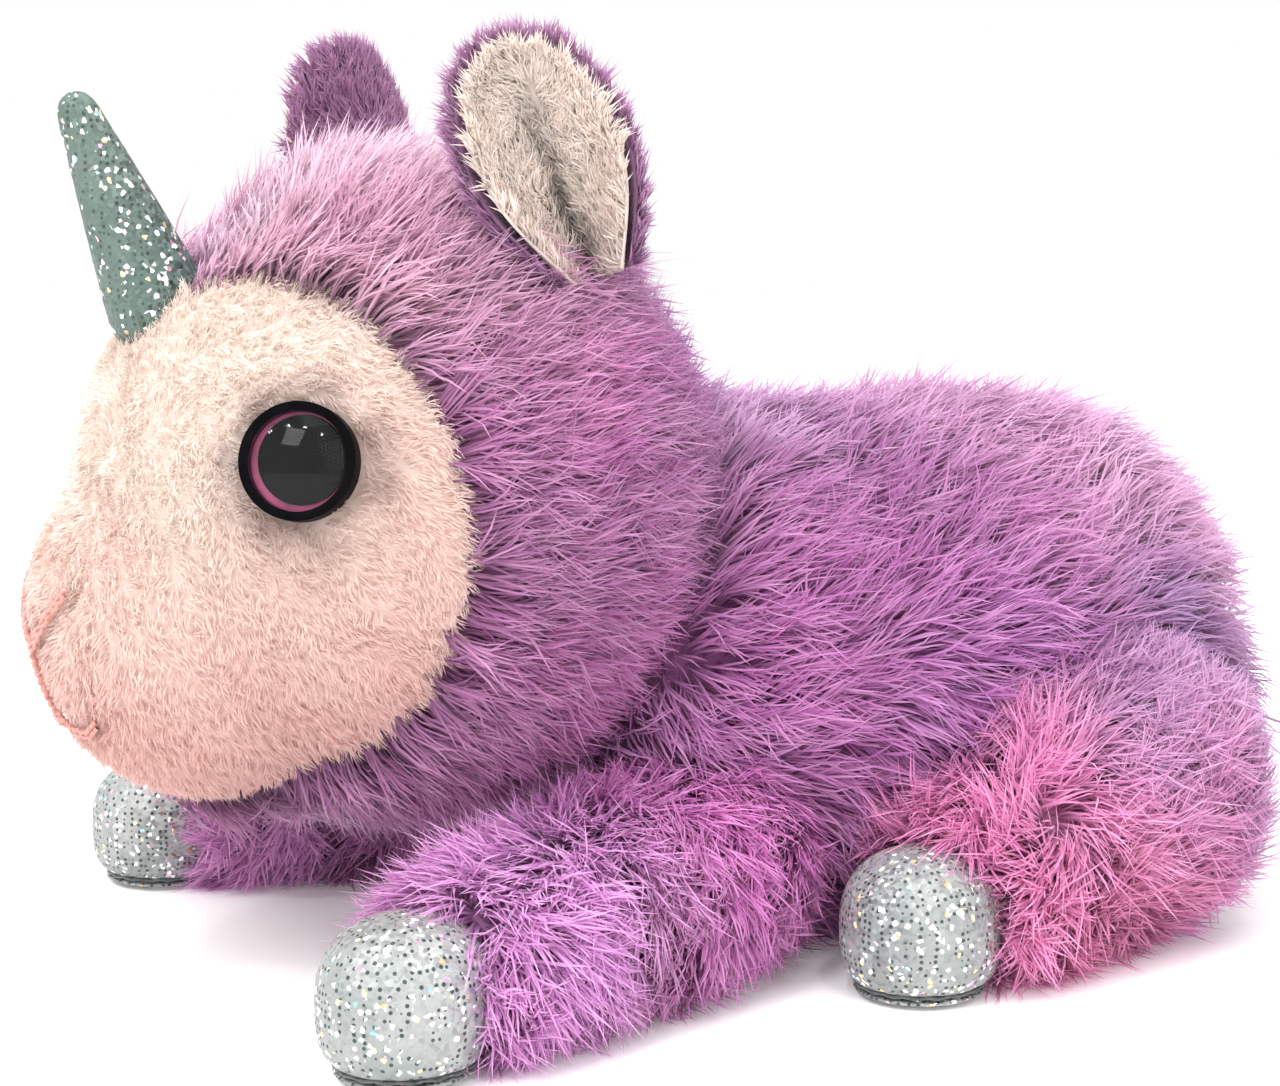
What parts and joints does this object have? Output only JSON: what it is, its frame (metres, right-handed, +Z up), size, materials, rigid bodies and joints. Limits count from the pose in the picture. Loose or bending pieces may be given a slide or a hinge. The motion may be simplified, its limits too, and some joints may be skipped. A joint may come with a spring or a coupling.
{
  "type": "plush unicorn",
  "caption": "Stuffed fur unicorn lying on its belly, with a turning and nodding head, a bending horn, flopping ears, swinging legs and a lifting tail.",
  "frame": {"origin": "middle of the toy in plan, on the ground it lies on", "axes": "-Y is the way the muzzle faces, +X is the animal's own left, +Z is up"},
  "size_m": [0.1316, 0.2113, 0.1315],
  "materials": {
    "long_fur": "matte long pile",
    "short_pile": "matte short pile",
    "glitter_cloth": "cloth with foil dots",
    "fibre_filling": "matte fibre",
    "cotton_bag": "plain weave",
    "pellet_plastic": "small beads",
    "sewing_thread": "twisted thread",
    "eye_black": "polished",
    "eye_iris": "foil behind clear plastic",
    "eye_clear": "clear plastic, polished",
    "washer_plastic": "moulded"
  },
  "bodies": {
    "torso": {"torso_cover_left": "long_fur", "torso_cover_right": "long_fur", "belly_panel": "long_fur", "belly_stitches": "sewing_thread", "torso_stuffing": "fibre_filling", "pellet_bag": "cotton_bag", "pellets": "pellet_plastic"},
    "neck": {"neck_cover": "long_fur", "neck_stuffing": "fibre_filling"},
    "head": {"hood_left": "long_fur", "hood_right": "long_fur", "face_cover": "short_pile", "head_stuffing": "fibre_filling", "eye_left_rim": "eye_black", "eye_left_iris": "eye_iris", "eye_left_pupil": "eye_black", "eye_left_lens": "eye_clear", "eye_left_washer": "washer_plastic", "eye_right_rim": "eye_black", "eye_right_iris": "eye_iris", "eye_right_pupil": "eye_black", "eye_right_lens": "eye_clear", "eye_right_washer": "washer_plastic", "nose_stitch": "sewing_thread", "mouth_stitch": "sewing_thread"},
    "horn": {"horn_cover": "glitter_cloth", "horn_stuffing": "fibre_filling"},
    "ear_left": {"ear_left_back": "long_fur", "ear_left_lining": "short_pile"},
    "ear_right": {"ear_right_back": "long_fur", "ear_right_lining": "short_pile"},
    "front_leg_left": {"front_leg_left_cover": "long_fur", "front_leg_left_stuffing": "fibre_filling", "front_hoof_left": "glitter_cloth", "front_sole_left": "glitter_cloth"},
    "front_leg_right": {"front_leg_right_cover": "long_fur", "front_leg_right_stuffing": "fibre_filling", "front_hoof_right": "glitter_cloth", "front_sole_right": "glitter_cloth"},
    "back_leg_left": {"back_leg_left_cover": "long_fur", "back_leg_left_stuffing": "fibre_filling", "back_hoof_left": "glitter_cloth", "back_sole_left": "glitter_cloth"},
    "back_leg_right": {"back_leg_right_cover": "long_fur", "back_leg_right_stuffing": "fibre_filling", "back_hoof_right": "glitter_cloth", "back_sole_right": "glitter_cloth"},
    "tail": {"tail_cover": "long_fur", "tail_stuffing": "fibre_filling"}
  },
  "joints": [
    {"name": "neck_nod", "type": "hinge", "parent": "torso", "child": "neck", "pos_m": [0, -0.0538, 0.067], "axis": [1, 0, 0], "range_deg": [-12, 10], "stiffness_Nm_per_rad": 0.6},
    {"name": "head_turn", "type": "hinge", "parent": "neck", "child": "head", "pos_m": [0, -0.0538, 0.067], "axis": [0, 0, 1], "range_deg": [-25, 25], "stiffness_Nm_per_rad": 0.4},
    {"name": "horn_bend", "type": "hinge", "parent": "head", "child": "horn", "pos_m": [0, -0.08559, 0.09368], "axis": [1, 0, 0], "range_deg": [-10, 10], "stiffness_Nm_per_rad": 0.03},
    {"name": "ear_left_flop", "type": "hinge", "parent": "head", "child": "ear_left", "pos_m": [0.03112, -0.0351, 0.09747], "axis": [0.2588, 0.9077, 0.3304], "range_deg": [-15, 30], "stiffness_Nm_per_rad": 0.012},
    {"name": "ear_right_flop", "type": "hinge", "parent": "head", "child": "ear_right", "pos_m": [-0.03112, -0.0351, 0.09747], "axis": [0.2588, -0.9077, -0.3304], "range_deg": [-15, 30], "stiffness_Nm_per_rad": 0.012},
    {"name": "front_leg_left_swing", "type": "hinge", "parent": "torso", "child": "front_leg_left", "pos_m": [0.033, -0.0178, 0.016], "axis": [0, 0, 1], "range_deg": [-5, 18], "stiffness_Nm_per_rad": 0.15},
    {"name": "front_leg_right_swing", "type": "hinge", "parent": "torso", "child": "front_leg_right", "pos_m": [-0.033, -0.0178, 0.016], "axis": [0, 0, -1], "range_deg": [-5, 18], "stiffness_Nm_per_rad": 0.15},
    {"name": "back_leg_left_swing", "type": "hinge", "parent": "torso", "child": "back_leg_left", "pos_m": [0.039, 0.0522, 0.0226], "axis": [0, 0, 1], "range_deg": [-2, 15], "stiffness_Nm_per_rad": 0.15},
    {"name": "back_leg_right_swing", "type": "hinge", "parent": "torso", "child": "back_leg_right", "pos_m": [-0.039, 0.0522, 0.0226], "axis": [0, 0, -1], "range_deg": [-2, 15], "stiffness_Nm_per_rad": 0.15},
    {"name": "tail_lift", "type": "hinge", "parent": "torso", "child": "tail", "pos_m": [0, 0.0892, 0.05], "axis": [1, 0, 0], "range_deg": [0, 50], "stiffness_Nm_per_rad": 0.02}
  ]
}
